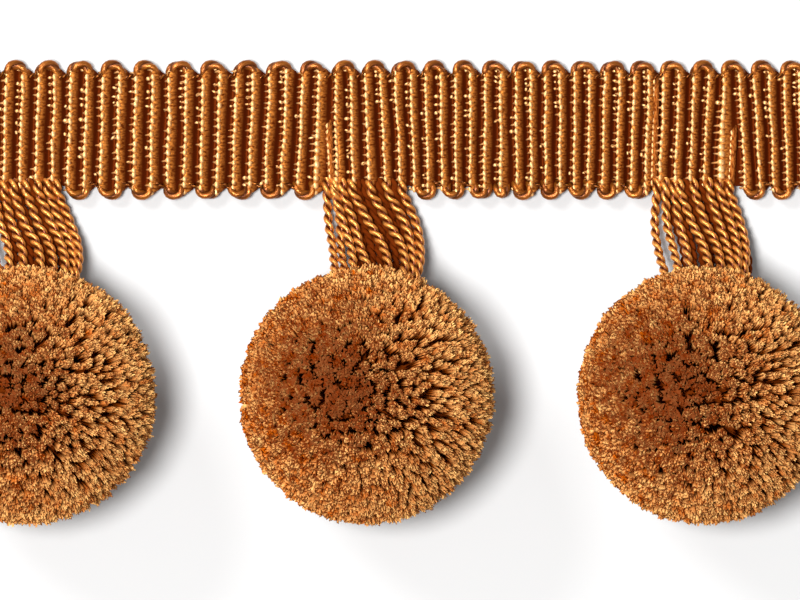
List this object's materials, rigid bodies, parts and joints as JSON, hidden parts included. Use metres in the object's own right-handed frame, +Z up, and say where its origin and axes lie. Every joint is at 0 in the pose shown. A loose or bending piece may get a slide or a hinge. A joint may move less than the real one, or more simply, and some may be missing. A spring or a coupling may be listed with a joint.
{
  "type": "pompom fringe trim",
  "caption": "Ribbed braid heading with scalloped edges, and cut-pile balls hung along its lower edge on bundles of twisted cords, lying flat.",
  "frame": {"origin": "on the surface that the trim lies on, under the middle of its box", "axes": "+X along the heading, +Y from the balls to the heading's free edge, +Z up from the surface, out of the heading's face"},
  "size_m": [0.12, 0.0552, 0.0297],
  "materials": {
    "heading_gimp": "woven bronze rayon gimp, glossy threads",
    "hanger_cord": "two-ply twisted bronze rayon cord, glossy",
    "ball_pile": "cut and trimmed tan yarn, matt"
  },
  "bodies": {
    "root": {"heading": "heading_gimp", "hanger_1": "hanger_cord", "hanger_2": "hanger_cord", "hanger_3": "hanger_cord", "ball_1": "ball_pile", "ball_2": "ball_pile", "ball_3": "ball_pile"}
  },
  "joints": []
}
